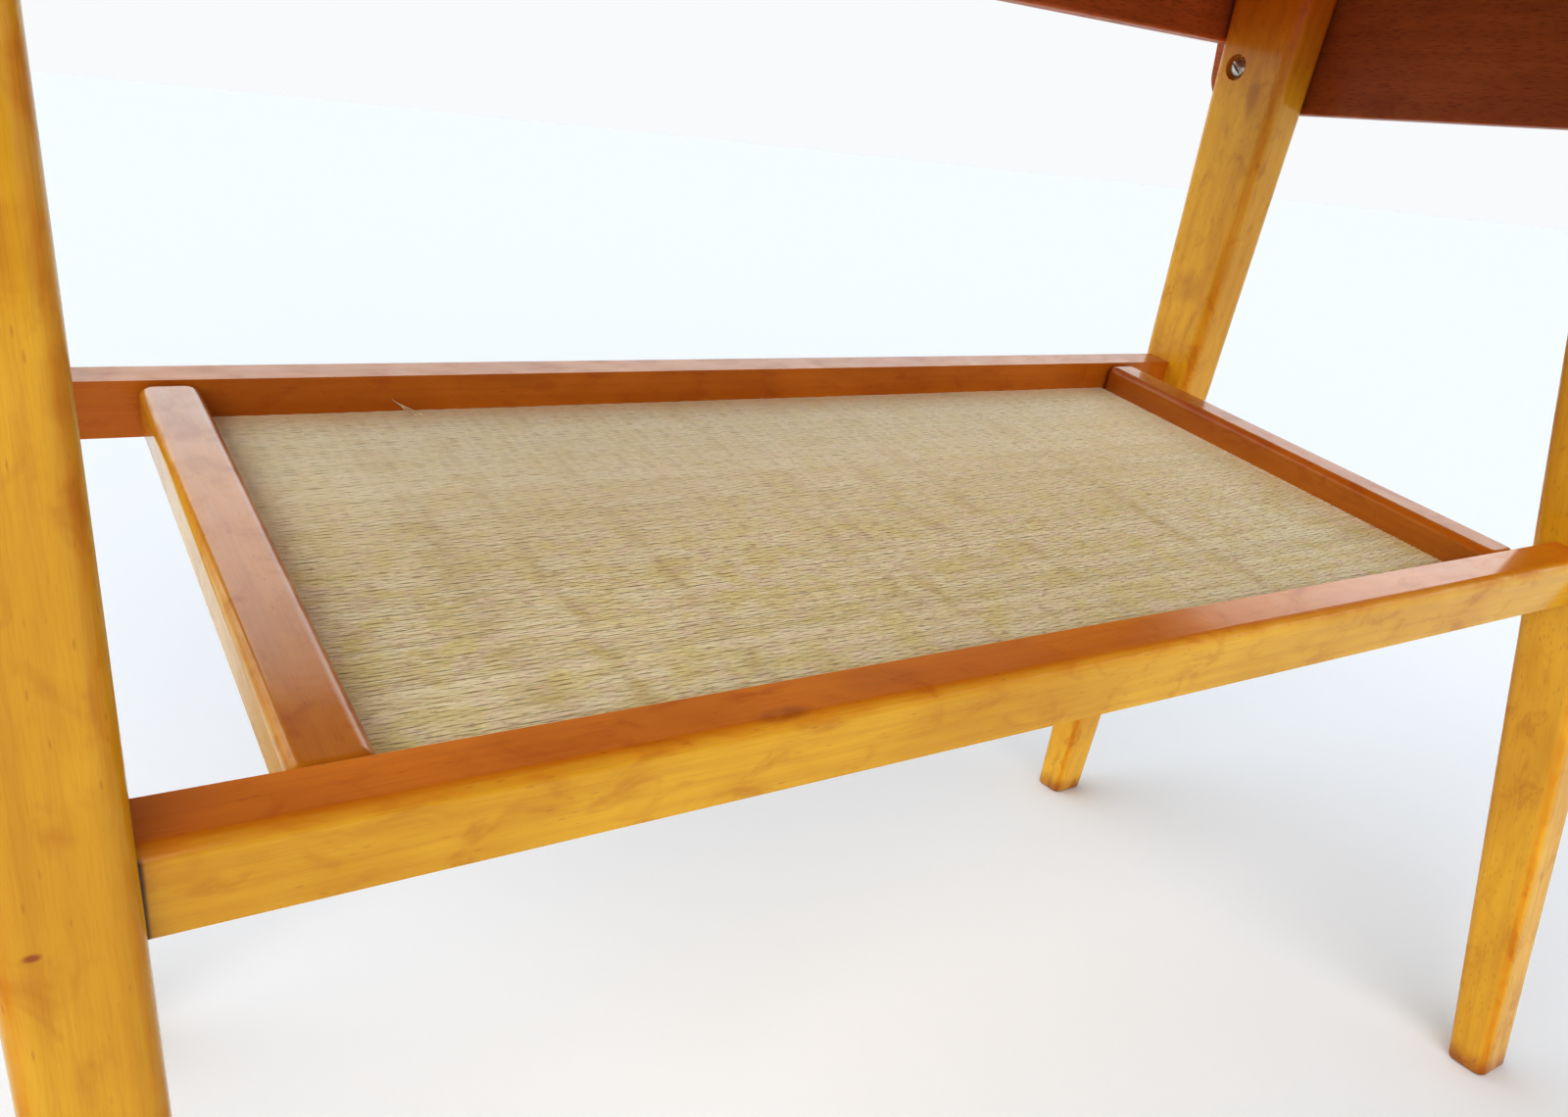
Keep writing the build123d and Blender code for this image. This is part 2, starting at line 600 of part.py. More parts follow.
FINGER = TRAY_HEIGHT / FINGERS
WALL_LEVELS = range(0, FINGERS, 2)
END_LEVELS = range(1, FINGERS, 2)


def finger_cuts(half_width, bottom, levels):
    """Blocks at the tray's four corners on the given finger levels."""
    with BuildPart() as cuts:
        for x_range in ((TRAY_LEFT, TRAY_LEFT + TRAY_WALL), (TRAY_RIGHT - TRAY_WALL, TRAY_RIGHT)):
            for y_side, y_name in Y_SIDES:
                for level in levels:
                    z_low = bottom + level * FINGER
                    y_range = both((half_width - TRAY_WALL, half_width), y_side)
                    add(block(x_range, y_range, (z_low, z_low + FINGER)))
    return cuts.part


for tray_name, half_width, bottom in (
    ("upper_tray", SIDE_INNER - TRAY_PLAY, UPPER_TRAY_BOTTOM),
    ("lower_tray", SIDE_INNER - UPPER_RUNNER_WIDTH - TRAY_PLAY, LOWER_TRAY_BOTTOM),
):
    z_range = (bottom, bottom + TRAY_HEIGHT)
    floor_low = bottom + TRAY_FLOOR_LIFT
    tray_floor_shape = block(
        (TRAY_LEFT + TRAY_TONGUE, TRAY_RIGHT - TRAY_TONGUE),
        (TRAY_TONGUE - half_width, half_width - TRAY_TONGUE),
        (floor_low, floor_low + TRAY_FLOOR),
    )
    for y_side, y_name in Y_SIDES:
        with BuildPart() as long_wall:
            y_range = both((half_width - TRAY_WALL, half_width), y_side)
            add(block((TRAY_LEFT, TRAY_RIGHT), y_range, z_range))
            add(finger_cuts(half_width, bottom, END_LEVELS), mode=Mode.SUBTRACT)
            add(tray_floor_shape, mode=Mode.SUBTRACT)
        save(long_wall, f"{tray_name}_wall_{y_name}")
    for x_range, x_name in (
        ((TRAY_LEFT, TRAY_LEFT + TRAY_WALL), "left"),
        ((TRAY_RIGHT - TRAY_WALL, TRAY_RIGHT), "right"),
    ):
        with BuildPart() as end_wall:
            add(block(x_range, (-half_width, half_width), z_range))
            add(finger_cuts(half_width, bottom, WALL_LEVELS), mode=Mode.SUBTRACT)
            add(tray_floor_shape, mode=Mode.SUBTRACT)
            if x_name == "right":
                with BuildSketch(Plane(origin=(x_range[0], 0, 0), x_dir=(0, 1, 0), z_dir=(1, 0, 0))):
                    with Locations((0, z_range[1])):
                        RectangleRounded(NOTCH_WIDTH, 2 * NOTCH_DEPTH, NOTCH_CORNER)
                extrude(amount=TRAY_WALL, mode=Mode.SUBTRACT)
        save(end_wall, f"{tray_name}_wall_{x_name}")
    with BuildPart() as tray_floor:
        add(tray_floor_shape)
    save(tray_floor, f"{tray_name}_floor")

TRAY_INSIDE = (TRAY_LEFT + TRAY_WALL, TRAY_RIGHT - TRAY_WALL)
UPPER_HALF = SIDE_INNER - TRAY_PLAY - TRAY_WALL
LOWER_HALF = UPPER_HALF - UPPER_RUNNER_WIDTH
DIVIDER_RISE = TRAY_FLOOR_LIFT + TRAY_FLOOR
UPPER_DIVIDER_Z = (UPPER_TRAY_BOTTOM + DIVIDER_RISE, UPPER_TRAY_BOTTOM + DIVIDER_RISE + DIVIDER_HEIGHT)
LOWER_DIVIDER_Z = (LOWER_TRAY_BOTTOM + DIVIDER_RISE, LOWER_TRAY_BOTTOM + DIVIDER_RISE + DIVIDER_HEIGHT)
TRAY_THIRD = (TRAY_INSIDE[1] - TRAY_INSIDE[0] - 2 * DIVIDER) / 3
TRAY_MIDDLE = (TRAY_LEFT + TRAY_RIGHT) / 2

with BuildPart() as upper_long_divider:
    add(block(TRAY_INSIDE, LONG_DIVIDER_Y, UPPER_DIVIDER_Z))
save(upper_long_divider, "upper_tray_long_divider")

with BuildPart() as upper_short_dividers:
    for index in (0, 1):
        x_low = TRAY_INSIDE[0] + (index + 1) * TRAY_THIRD + index * DIVIDER
        add(block((x_low, x_low + DIVIDER), (LONG_DIVIDER_Y[1], UPPER_HALF), UPPER_DIVIDER_Z))
save(upper_short_dividers, "upper_tray_short_dividers")

SPOOL_PITCH = (TRAY_INSIDE[1] - TRAY_INSIDE[0]) / SPOOL_COLUMNS

with BuildPart() as spool_pins:
    for y in SPOOL_ROWS:
        for column in range(SPOOL_COLUMNS):
            foot = (TRAY_INSIDE[0] + (column + 0.5) * SPOOL_PITCH, y, UPPER_DIVIDER_Z[0])
            add(rod(foot, (0, 0, 1), SPOOL_PIN_RADIUS, SPOOL_PIN_HEIGHT))
    fillet(spool_pins.edges().group_by(Axis.Z)[-1], SPOOL_PIN_ROUND)
save(spool_pins, "upper_tray_spool_pins")

with BuildPart() as lower_divider:
    middle = (TRAY_MIDDLE - DIVIDER / 2, TRAY_MIDDLE + DIVIDER / 2)
    add(block(middle, (-LOWER_HALF, LOWER_HALF), LOWER_DIVIDER_Z))
save(lower_divider, "lower_tray_divider")

with BuildPart() as lower_short_divider:
    half = (TRAY_INSIDE[0], TRAY_MIDDLE - DIVIDER / 2)
    add(block(half, (-DIVIDER / 2, DIVIDER / 2), LOWER_DIVIDER_Z))
save(lower_short_divider, "lower_tray_short_divider")
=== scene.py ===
import json
import math
import random

import bpy
from mathutils import Matrix, Vector


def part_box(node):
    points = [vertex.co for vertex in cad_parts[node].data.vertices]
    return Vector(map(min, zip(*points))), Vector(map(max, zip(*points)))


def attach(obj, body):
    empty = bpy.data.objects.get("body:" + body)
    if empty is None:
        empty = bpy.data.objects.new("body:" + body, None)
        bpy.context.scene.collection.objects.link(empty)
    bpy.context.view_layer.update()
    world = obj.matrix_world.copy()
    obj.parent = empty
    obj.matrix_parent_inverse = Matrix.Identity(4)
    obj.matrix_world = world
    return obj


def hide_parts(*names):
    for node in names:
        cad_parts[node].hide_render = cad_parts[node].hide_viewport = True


# Sewing box on a splayed-leg stand: the looks. Metres, in the frame's own axes:
# +Z up from the floor, +X along the length, -Y the front.

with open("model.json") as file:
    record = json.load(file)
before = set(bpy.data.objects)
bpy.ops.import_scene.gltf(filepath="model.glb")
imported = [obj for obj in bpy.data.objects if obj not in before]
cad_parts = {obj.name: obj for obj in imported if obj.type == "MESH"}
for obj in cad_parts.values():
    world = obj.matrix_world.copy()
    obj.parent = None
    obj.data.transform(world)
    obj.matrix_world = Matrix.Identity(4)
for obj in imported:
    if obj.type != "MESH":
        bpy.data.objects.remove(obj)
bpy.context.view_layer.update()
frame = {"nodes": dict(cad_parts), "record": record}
nodes = frame["nodes"]

# ---- camera ----
CAMERA_PLACE = Vector((-0.2910, -0.3715, 0.4043))
CAMERA_FORWARD = Vector((0.5454, 0.7547, -0.3647))
CAMERA_UP = Vector((0.1281, 0.3550, 0.9261))
CAMERA_LENS = 28.24
CAMERA_SENSOR = 36.0
CAMERA_SHIFT = (-0.036, 0.041)
CAMERA_NEAREST = 0.01

# ---- stand ----
SHELF_TILT = math.radians(8.0)  # front lower than back
LEG_LEAN = 0.1123  # a leg's middle moves out by this much per metre down
LEGS = ("leg_front_left", "leg_front_right", "leg_back_left", "leg_back_right")
UNDER_BOX = 0.465  # above this height the legs get a painted shadow of the box,
SHADE_EDGE = 0.03  # and the change takes this much up and down
SCUFFED = (0.014, 0.001)  # feet and brooms have darkened the legs from one height down to the other
JOINT = 0.280  # middle of the stand to the joint of a rail and a leg
JOINT_LINE = (JOINT - 0.0012, JOINT - 0.0002)  # the painted gap shadow at the joint spreads from one place to the other

# ---- woven straw face of the shelf ----
WEAVE_THICKNESS = 0.001
WEAVE_DROP = 0.0145  # middle of the woven face below the rail tops
BED_DROP = 0.0148  # backing of the threads below the rail tops
THREAD_LIFT = 0.00035  # edges of a thread above the backing
THREAD_PITCH = 0.00112
THREAD_WIDTH = 0.00104
THREAD_RISE = 0.00030
THREAD_STEP = 0.0024  # between two points of a thread
THREAD_DRIFT = 0.00010  # a thread wanders sideways by this much,
DRIFT_TURNS = 90.0  # in radians per metre
WARP_PITCH = 0.0048
WARP_SWING = 0.00007  # how far a thread goes over and under
BED_TINT = (0.2, 0.0, 0.8, 1.0)  # tone, no band, in deep shade
BANDS = (  # darker bands across the threads: place from the left end, width
    (0.050, 0.007), (0.076, 0.003), (0.115, 0.003), (0.187, 0.002),
    (0.201, 0.002), (0.235, 0.003), (0.264, 0.003), (0.345, 0.004),
)

# ---- loose fibres, from the face of the back rail down to the weave, each shorter and lower ----
FIBRES = 3
FIBRE_POINTS = 9
FIBRE_ROOT = (-0.1625, 0.1200)
FIBRE_SPACING = 0.0016
FIBRE_LEAN = (0.010, 0.0060)  # along the rail, and away from it
FIBRE_SHORTENING = 0.004
FIBRE_TOP = 0.0055  # the root above the backing
FIBRE_FALL = 0.0045  # the tip below the root
FIBRE_LOWERING = 0.0012
FIBRE_CURL = 0.7  # below 1, a fibre falls most near its root
FIBRE_WIDTH = 0.0008
FIBRE_RISE = 0.0004
FIBRE_TONE = 0.1  # 0 is the darkest straw, 1 the lightest

# ---- light ----
DOME_WHITE = (0.88, 0.965, 1.0, 1.0)
WALL_LIGHT = 2.5  # in a band above the horizon
HORIZON_LIGHT = 1.1
CEILING_LIGHT = 0.42
DARK_LIGHT = 0.30
HORIZON_BAND = (0.20, 0.38)  # sines of the heights where the wall grows bright,
CEILING_BAND = (0.65, 0.73)  # and where it ends,
CEILING_SLANT = 0.31  # which is lower to the right
FRONT = Vector((-0.45, -0.89, 0.0))  # the darker side of the room
DARK_HEIGHT = (0.95, 0.45)  # it darkens from one sine of height down to the other,
DARK_WIDTH = (0.0, 0.7)  # and from the room's sides round to its front
WINDOW_TOWARDS = (0.45, 0.85, -0.40)
WINDOW_LIGHT = 2.0
WINDOW_ANGLE = 60.0
WINDOW_COLOUR = (1.0, 0.97, 0.94)
VIEW_EXPOSURE = 0.08
VIEW_GAMMA = 0.78  # a firmer tone curve, as of a contrasty print
BACKDROP = (0.905, 0.914, 0.928, 1.0)
FLOOR_COLOUR = (0.820, 0.810, 0.835, 1.0)
FLOOR_RADIUS = 40.0

# ---- woods ----
BEECH = {
    "light": (0.70, 0.400, 0.024, 1), "mid": (0.60, 0.310, 0.012, 1), "dark": (0.40, 0.120, 0.002, 1),
    "fleck": (0.33, 0.085, 0.008, 1), "flecks": 0.35, "rings": 55.0, "ring_depth": 0.08,
    "streaks": 0.16, "pores": 0.0,
    "roughness": 0.40, "coat": 0.9, "coat_roughness": 0.13, "specular": 0.15,
}
TEAK = {
    "light": (0.45, 0.132, 0.026, 1), "mid": (0.38, 0.102, 0.019, 1), "dark": (0.25, 0.054, 0.009, 1),
    "fleck": (0.11, 0.018, 0.004, 1), "flecks": 0.3, "rings": 42.0, "ring_depth": 0.12,
    "streaks": 0.28, "pores": 0.55,
    "roughness": 0.48, "coat": 0.22, "coat_roughness": 0.28, "specular": 0.2,
}
TRAY_BEECH = {
    "light": (0.80, 0.56, 0.33, 1), "mid": (0.72, 0.47, 0.25, 1), "dark": (0.55, 0.31, 0.14, 1),
    "fleck": (0.42, 0.21, 0.09, 1), "flecks": 0.6, "rings": 60.0, "ring_depth": 0.25,
    "streaks": 0.35, "pores": 0.0,
    "roughness": 0.42, "coat": 0.35, "coat_roughness": 0.25, "specular": 0.3,
}
BIRCH_PLY = {
    "light": (0.83, 0.64, 0.41, 1), "mid": (0.77, 0.56, 0.33, 1), "dark": (0.63, 0.41, 0.21, 1),
    "fleck": (0.50, 0.30, 0.15, 1), "flecks": 0.3, "rings": 18.0, "ring_depth": 0.45,
    "streaks": 0.35, "pores": 0.0,
    "roughness": 0.50, "coat": 0.15, "coat_roughness": 0.30, "specular": 0.3,
}
WOODS = {"beech": BEECH, "teak": TEAK, "tray_beech": TRAY_BEECH, "birch_ply": BIRCH_PLY}

# Patterns in the wood: repeats per metre across the grain and along it.
CLOUDS = (26.0, 11.0)
SMUDGES = (95.0, 55.0)
STREAKS = (330.0, 7.0)
WOOD_FIBRES = (2400.0, 60.0)
FLECKS = (900.0, 190.0)
PORES = (1700.0, 120.0)
LACQUER_RIPPLES = 420.0  # per metre, the same in every direction

# ---- wear ----
# The pieces round the shelf: which way their faces turned to the shelf look, and the painted shade, deeper
# and redder, that these faces get.
SHADE_PAINTED_FACES = {
    "rail_front": ((0, 0.6, 0.8), (0.95, 0.57, 0.30, 1)),
    "rail_back": ((0, -0.85, 0.55), (0.80, 0.47, 0.42, 1)),
    "cross_bar_left": ((0.6, 0, 0.8), (0.74, 0.49, 0.42, 1)),
    "cross_bar_right": ((-0.8, 0, 0.9), (0.72, 0.43, 0.45, 1)),
}
EDGE_WEAR_AND_SHADE = (0.92, 0.62, 0.42, 1)  # tone of the rounded edges: worn lacquer, and painted shade for the weaker reflection there
RUBBED_COAT = 0.4  # lacquer left there
PAINTED_BOX_SHADOW = (1.0, 0.58, 0.30, 1)  # painted shadow of the box on the tops of the legs
# painted shadow in the gap where a rail's end meets a leg
PAINTED_GAP_SHADOW = (0.06, 0.012, 0.003, 1)
DULLED = {"rail_back": 0.50, "cross_bar_right": 0.60}  # lacquer left on pieces where it has dulled
LIGHTER_BASE_AND_PAINTED_LIGHT = {"leg_back_right": 1.17, "leg_front_right": 1.10, "side_panel_back": 1.45}  # lighter base colour: painted light on the two right legs, lifting legs that shade darkens; on side_panel_back a lighter base colour

# Marks of use: node, place, reach in each direction, strength.
MARKS = (
    ("rail_front", (-0.134, -0.1335, 0.2662), (0.012, 0.004, 0.003), 0.75),
    ("rail_front", (-0.098, -0.1262, 0.2674), (0.020, 0.008, 0.004), 0.35),
    ("leg_front_left", (-0.2986, -0.1446, 0.2528), (0.0022, 0.004, 0.0012), 1.0),
    ("leg_back_right", (0.280, 0.098, 0.4466), (0.004, 0.006, 0.016), 0.45),
    ("leg_back_right", (0.280, 0.1154, 0.346), (0.004, 0.012, 0.014), 0.30),
)

# ---- straw: repeats per metre along a thread and across it, then tones ----
DASHES = (190.0, 2100.0, 0.0)
HAIRS = (420.0, 5200.0, 0.0)
STRAW_DARK = (0.86, 0.780, 0.480, 1)
STRAW_LIGHT = (0.98, 0.940, 0.700, 1)
STRAW_GREEN = (0.84, 0.74, 0.330, 1)
STRAW_PINK = (0.92, 0.74, 0.62, 1)
STRAW_GAP = (0.42, 0.26, 0.130, 1)
STRAW_SILK = (0.90, 0.80, 0.58, 1)
STRAW_BAND = (0.50, 0.33, 0.15, 1)
STRAW_HAIR = (0.36, 0.23, 0.11, 1)
STRAW_PAINTED_SHADE = (0.40, 0.27, 0.13, 1)
STRAW_PAINTED_LIGHT = (0.99, 0.95, 0.74, 1)

UP = Vector((0, 0, 1))
random.seed(7)


class Recipe:
    """One procedural material, with short calls for its nodes."""

    def __init__(self, name):
        self.material = bpy.data.materials.new(name)
        self.material.use_nodes = True
        self.tree = self.material.node_tree
        self.shader = self.tree.nodes["Principled BSDF"]
        self.place = self.node("ShaderNodeTexCoord")
        self.here = self.place.outputs["Object"]

    def node(self, kind, inputs=None, **settings):
        made = self.tree.nodes.new(kind)
        for key, value in settings.items():
            setattr(made, key, value)
        for key, value in (inputs or {}).items():
            self.feed(made.inputs[key], value)
        return made

    def feed(self, socket, value):
        if isinstance(value, bpy.types.NodeSocket):
            self.tree.links.new(value, socket)
        else:
            socket.default_value = value

    def calc(self, operation, a, b=0.0, c=0.0):
        return self.node("ShaderNodeMath", {0: a, 1: b, 2: c}, operation=operation).outputs[0]

    def vector(self, operation, a, b=None):
        """The node itself, because some operations give a vector and some a number."""
        inputs = {0: a} if b is None else {0: a, 1: b}
        return self.node("ShaderNodeVectorMath", inputs, operation=operation)

    def parts(self, vector):
        return self.node("ShaderNodeSeparateXYZ", {0: vector}).outputs

    def channels(self, colour):
        return self.node("ShaderNodeSeparateColor", {"Color": colour}).outputs

    def spread(self, value, low, high, out_low=0.0, out_high=1.0):
        """The value's span from low to high, as a smooth step."""
        ends = {"Value": value, "From Min": low, "From Max": high, "To Min": out_low, "To Max": out_high}
        return self.node("ShaderNodeMapRange", ends, interpolation_type="SMOOTHSTEP").outputs[0]

    def blend(self, factor, a, b, mode="MIX"):
        inputs = {0: factor, 6: a, 7: b}
        return self.node("ShaderNodeMix", inputs, data_type="RGBA", blend_type=mode).outputs[2]

    def scaled(self, where, scale):
        return self.node("ShaderNodeMapping", {"Vector": where, "Scale": scale}).outputs[0]

    def stretch(self, where, across, along):
        """Coordinates for a pattern drawn out along the grain, which runs along Z."""
        return self.scaled(where, (across, across, along))

    def noise(self, where, scale, detail=3.0, roughness=0.55, distortion=0.0):
        inputs = {
            "Vector": where, "Scale": scale, "Detail": detail,
            "Roughness": roughness, "Distortion": distortion,
        }
        return self.node("ShaderNodeTexNoise", inputs).outputs["Fac"]

    def cells(self, where, scale=1.0):
        return self.node("ShaderNodeTexVoronoi", {"Vector": where, "Scale": scale})

    def bump(self, height, distance, strength, normal=None):
        inputs = {"Height": height, "Distance": distance, "Strength": strength}
        if normal is not None:
            inputs["Normal"] = normal
        return self.node("ShaderNodeBump", inputs).outputs[0]

    def spot(self, centre, radii):
        """1 at a place on the object, falling to 0 at these distances from it."""
        moved = self.vector("SUBTRACT", self.here, centre).outputs[0]
        nearness = self.vector("DIVIDE", moved, radii).outputs[0]
        far = self.vector("LENGTH", nearness).outputs["Value"]
        return self.spread(far, 1.0, 0.25)

    def set(self, **values):
        for key, value in values.items():
            self.feed(self.shader.inputs[key.replace("_", " ")], value)


def wood(name, along, look, seed):
    """Lacquered wood whose grain runs along a direction of the frame."""
    r = Recipe(name)
    turn = Vector(along).rotation_difference(UP).to_euler()
    shift = random.Random(seed)
    offset = (shift.uniform(0.03, 0.09), shift.uniform(0.03, 0.09), shift.uniform(0.0, 3.0))
    placed = {"Vector": r.here, "Rotation": turn, "Location": offset}
    grain = r.node("ShaderNodeMapping", placed).outputs[0]

    clouds = r.noise(r.stretch(grain, *CLOUDS), 1.0, 3.0, 0.6, 0.4)
    smudges = r.noise(r.stretch(grain, *SMUDGES), 1.0, 3.0, 0.62, 0.6)
    streaks = r.noise(r.stretch(grain, *STREAKS), 1.0, 4.0, 0.6)
    fibres = r.noise(r.stretch(grain, *WOOD_FIBRES), 1.0, 2.0, 0.6)
    rings = year_rings(r, grain, look["rings"])
    flecks = r.cells(r.stretch(grain, *FLECKS))
    fleck_here = r.spread(flecks.outputs["Distance"], 0.30, 0.10)
    fleck_kept = r.spread(r.channels(flecks.outputs["Color"])[0], 0.80, 0.92)
    fleck_depth = r.calc("MULTIPLY", r.calc("MULTIPLY", fleck_here, fleck_kept), look["flecks"])

    # Painted light: the two right legs get a lighter base colour, making up for shade.
    lightening = LIGHTER_BASE_AND_PAINTED_LIGHT.get(name, 1.0)
    light, mid = ([lightening * channel for channel in look[tone][:3]] + [1] for tone in ("light", "mid"))
    colour = r.blend(r.spread(clouds, 0.34, 0.68), mid, light)
    colour = r.blend(r.calc("MULTIPLY", r.spread(rings, 0.45, 1.0), look["ring_depth"]), colour, look["dark"])
    colour = r.blend(r.spread(streaks, 0.50, 0.74, 0.0, look["streaks"]), colour, look["dark"])
    colour = r.blend(r.spread(smudges, 0.50, 0.78, 0.0, 0.45), colour, look["dark"])
    colour = r.blend(r.spread(fibres, 0.42, 0.70, 0.0, 0.14), colour, look["dark"])
    colour = r.blend(fleck_depth, colour, look["fleck"])
    relief = r.bump(fibres, 0.00012, 0.35)
    relief = r.bump(streaks, 0.00020, 0.20, relief)
    if look["pores"]:
        pore_here = r.spread(r.cells(r.stretch(grain, *PORES)).outputs["Distance"], 0.36, 0.12)
        colour = r.blend(r.calc("MULTIPLY", pore_here, look["pores"]), colour, look["fleck"])
        relief = r.bump(pore_here, 0.00012, 0.40, relief)

    edge_wear_and_shade = worn_and_shaded_edges(r, turn, smudges)
    # Rounded edges darkened: worn lacquer, and painted shade standing for the weaker reflection there.
    colour = r.blend(edge_wear_and_shade, colour, EDGE_WEAR_AND_SHADE, "MULTIPLY")
    colour = wear_and_painted_shade(r, name, colour, smudges, look["fleck"])

    coat = DULLED.get(name, look["coat"])
    lacquer = r.noise(grain, LACQUER_RIPPLES, 2.0, 0.5)
    r.set(Base_Color=colour, Normal=relief, Coat_Normal=r.bump(lacquer, 0.00010, 0.22))
    r.set(Roughness=r.spread(smudges, 0.30, 0.75, look["roughness"] - 0.05, look["roughness"] + 0.12))
    r.set(Coat_Weight=r.spread(edge_wear_and_shade, 0.0, 0.5, coat, RUBBED_COAT * coat))
    r.set(Coat_Roughness=look["coat_roughness"], Coat_IOR=1.5, Specular_IOR_Level=look["specular"])
    return r.material


def year_rings(r, grain, scale):
    inputs = {
        "Vector": r.stretch(grain, 1.0, 0.05), "Scale": scale, "Distortion": 5.0,
        "Detail": 3.0, "Detail Scale": 0.6, "Detail Roughness": 0.6,
    }
    kind = {"wave_type": "RINGS", "rings_direction": "Z", "wave_profile": "SIN"}
    return r.node("ShaderNodeTexWave", inputs, **kind).outputs["Fac"]


def worn_and_shaded_edges(r, turn, smudges):
    """1 on rounded edges, where the lacquer is worn and painted shade darkens the colour: a rounded edge has
    a normal between the flat faces.
    """
    across = {"Vector": r.place.outputs["Normal"], "Rotation": turn}
    facing = r.node("ShaderNodeMapping", across, vector_type="VECTOR").outputs[0]
    x, y, z = r.parts(r.vector("ABSOLUTE", facing).outputs[0])
    flattest = r.calc("MAXIMUM", r.calc("MAXIMUM", x, y), z)
    edge = r.spread(flattest, 0.975, 0.80)
    return r.calc("MULTIPLY", edge, r.spread(smudges, 0.35, 0.66, 0.25, 0.60))


def wear_and_painted_shade(r, name, colour, smudges, dirt):
    """Feet and hands on the pieces of the stand, and painted shade: on faces turned to the shelf, at the rail
    joints and on the legs under the box.
    """
    along, _, up = r.parts(r.here)
    if name in SHADE_PAINTED_FACES:
        # Painted shade: faces turned to the shelf are made deeper and redder than the rest.
        inwards, painted_shade_tone = SHADE_PAINTED_FACES[name]
        turned = r.vector("DOT_PRODUCT", r.place.outputs["Normal"], inwards).outputs["Value"]
        colour = r.blend(r.spread(turned, 0.10, 0.75), colour, painted_shade_tone, "MULTIPLY")
        # Painted shadow of the gap at each rail's end, on the faces turned away from the shelf.
        if "rail" in name:
            from_middle = r.calc("ABSOLUTE", along)
            end = r.spread(from_middle, *JOINT_LINE)
            outside = r.spread(turned, 0.1, -0.3, 0.0, 0.9)
            colour = r.blend(r.calc("MULTIPLY", end, outside), colour, PAINTED_GAP_SHADOW)
    if name in LEGS:
        # Painted shadow of the box: the legs are darker above UNDER_BOX.
        shade = r.spread(up, UNDER_BOX - SHADE_EDGE, UNDER_BOX + SHADE_EDGE)
        colour = r.blend(shade, colour, PAINTED_BOX_SHADOW, "MULTIPLY")
        blotches = r.spread(smudges, 0.30, 0.60, 0.35, 0.85)
        colour = r.blend(r.calc("MULTIPLY", r.spread(up, *SCUFFED), blotches), colour, dirt)
    for node, place, reach, strength in MARKS:
        if node == name:
            near = r.calc("MULTIPLY", r.spot(place, reach), strength)
            near = r.calc("MULTIPLY", near, r.spread(smudges, 0.30, 0.52, 0.45, 1.0))
            colour = r.blend(near, colour, dirt)
    return colour


def metal(name, clean, tarnish, amount, grain_axis):
    """Worn metal with fine scratches along one axis and tarnish in patches."""
    r = Recipe(name)
    scale = [2600.0] * 3
    scale[grain_axis] = 160.0
    scratches = r.noise(r.scaled(r.here, scale), 1.0, 2.0)
    patches = r.noise(r.here, 260.0, 4.0, 0.65, 0.3)
    specks = r.noise(r.here, 1500.0, 3.0, 0.7)
    worn = [channel * 0.72 for channel in clean[:3]] + [1]
    dull = r.spread(patches, 0.62 - amount * 0.25, 0.78)
    colour = r.blend(r.spread(scratches, 0.3, 0.7, 0.0, 0.25), clean, worn)
    colour = r.blend(r.calc("MULTIPLY", dull, 0.75), colour, tarnish)
    colour = r.blend(r.spread(specks, 0.66, 0.74, 0.0, 0.7), colour, tarnish)
    r.set(Base_Color=colour, Metallic=1.0, Roughness=r.spread(patches, 0.3, 0.75, 0.24, 0.52))
    r.set(Normal=r.bump(scratches, 0.00005, 0.30))
    return r.material


def steel():
    return metal("steel", (0.62, 0.60, 0.57, 1), (0.16, 0.10, 0.06, 1), 0.45, 1)


def brass():
    return metal("brass", (0.80, 0.56, 0.24, 1), (0.24, 0.13, 0.05, 1), 0.6, 1)


def straw():
    """Dry woven straw: silky threads in slightly different tones, with darker bands and painted shade along
    the thread edges.
    """
    r = Recipe("woven_straw")
    tint = r.node("ShaderNodeAttribute", attribute_name="straw").outputs["Color"]
    thread, band, thread_shade = r.channels(tint)[:3]
    shelf = r.node("ShaderNodeMapping", {"Vector": r.here, "Rotation": (-SHELF_TILT, 0, 0)}).outputs[0]
    across = r.parts(shelf)[1]
    dashes = r.noise(r.scaled(shelf, DASHES), 1.0, 3.0, 0.6)
    hairs = r.noise(r.scaled(shelf, HAIRS), 1.0, 2.0, 0.6)
    patches = r.noise(shelf, 60.0, 3.0, 0.65, 0.5)
    pinkish = r.noise(shelf, 130.0, 2.0, 0.6)

    colour = r.blend(thread, STRAW_DARK, STRAW_LIGHT)
    colour = r.blend(r.spread(patches, 0.42, 0.66, 0.0, 0.70), colour, STRAW_GREEN)
    colour = r.blend(r.spread(pinkish, 0.48, 0.66, 0.0, 0.45), colour, STRAW_PINK)
    colour = r.blend(r.spread(dashes, 0.34, 0.46, 0.65, 0.0), colour, STRAW_GAP)
    colour = r.blend(r.spread(dashes, 0.58, 0.72, 0.0, 0.60), colour, STRAW_SILK)
    colour = r.blend(r.calc("MULTIPLY", band, r.spread(patches, 0.35, 0.6, 0.05, 0.26)), colour, STRAW_BAND)
    colour = r.blend(r.spread(hairs, 0.35, 0.65, 0.0, 0.22), colour, STRAW_HAIR)
    # Painted shade along the edges of the threads and on the backing, from the tint's third channel.
    colour = r.blend(r.calc("MULTIPLY", thread_shade, 0.42), colour, STRAW_PAINTED_SHADE)
    # Painted light: the back of the shelf is made lighter and less contrasty.
    colour = r.blend(r.spread(across, 0.0, 0.12, 0.0, 0.50), colour, STRAW_PAINTED_LIGHT)

    r.set(Base_Color=colour, Roughness=r.spread(dashes, 0.3, 0.7, 0.52, 0.36))
    r.set(Normal=r.bump(hairs, 0.00008, 0.5))
    r.set(Sheen_Weight=0.20, Sheen_Roughness=0.4, Specular_IOR_Level=0.65)
    return r.material


